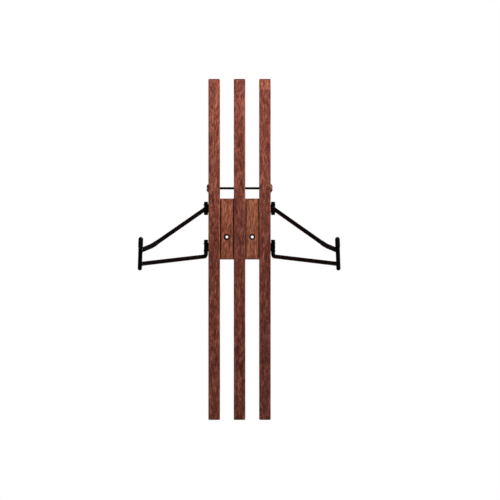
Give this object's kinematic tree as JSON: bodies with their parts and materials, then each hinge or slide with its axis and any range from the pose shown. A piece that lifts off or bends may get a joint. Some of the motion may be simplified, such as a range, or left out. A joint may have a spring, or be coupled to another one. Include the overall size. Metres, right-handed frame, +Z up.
{
  "type": "bicycle wall rack",
  "caption": "Wall rack that stores a bicycle by its top tube on a pair of folding rod arms hinged to an upright of wooden slats.",
  "frame": {"origin": "midpoint between the wall screw holes, on the plane of the wall at the back of the slats", "axes": "+X to the right as seen from the room, +Y into the wall, +Z up"},
  "size_m": [0.328, 0.2752, 0.573],
  "materials": {
    "slat_wood": "satin mahogany stain",
    "block_wood": "satin, a little lighter than the slats",
    "black_coat": "semi-gloss black powder coat",
    "black_vinyl": "smooth soft vinyl",
    "bronze": "antique bronze",
    "dark_steel": "dark zinc"
  },
  "bodies": {
    "upright": {"slat_left": "slat_wood", "slat_middle": "slat_wood", "slat_right": "slat_wood", "block_left": "block_wood", "block_right": "block_wood", "through_bolts": "dark_steel", "bolt_nuts": "dark_steel", "tie_rod": "black_coat", "cap_nut_left": "bronze", "cap_nut_right": "bronze", "upper_bracket_left": "black_coat", "upper_bracket_right": "black_coat", "lower_bracket_left": "black_coat", "lower_bracket_right": "black_coat"},
    "left_arm": {"hinge_pin_left": "black_coat", "brace_rod_left": "black_coat", "rail_rod_left": "black_coat", "post_rod_left": "black_coat", "post_cover_left": "black_vinyl", "seat_cover_left": "black_vinyl"},
    "right_arm": {"hinge_pin_right": "black_coat", "brace_rod_right": "black_coat", "rail_rod_right": "black_coat", "post_rod_right": "black_coat", "post_cover_right": "black_vinyl", "seat_cover_right": "black_vinyl"}
  },
  "joints": [
    {"name": "left_arm_swing", "type": "hinge", "parent": "upright", "child": "left_arm", "pos_m": [-0.0564, -0.03, 0], "axis": [0, 0, -1], "range_deg": [-20, 65]},
    {"name": "right_arm_swing", "type": "hinge", "parent": "upright", "child": "right_arm", "pos_m": [0.0564, -0.03, 0], "axis": [0, 0, 1], "range_deg": [-20, 65]}
  ]
}
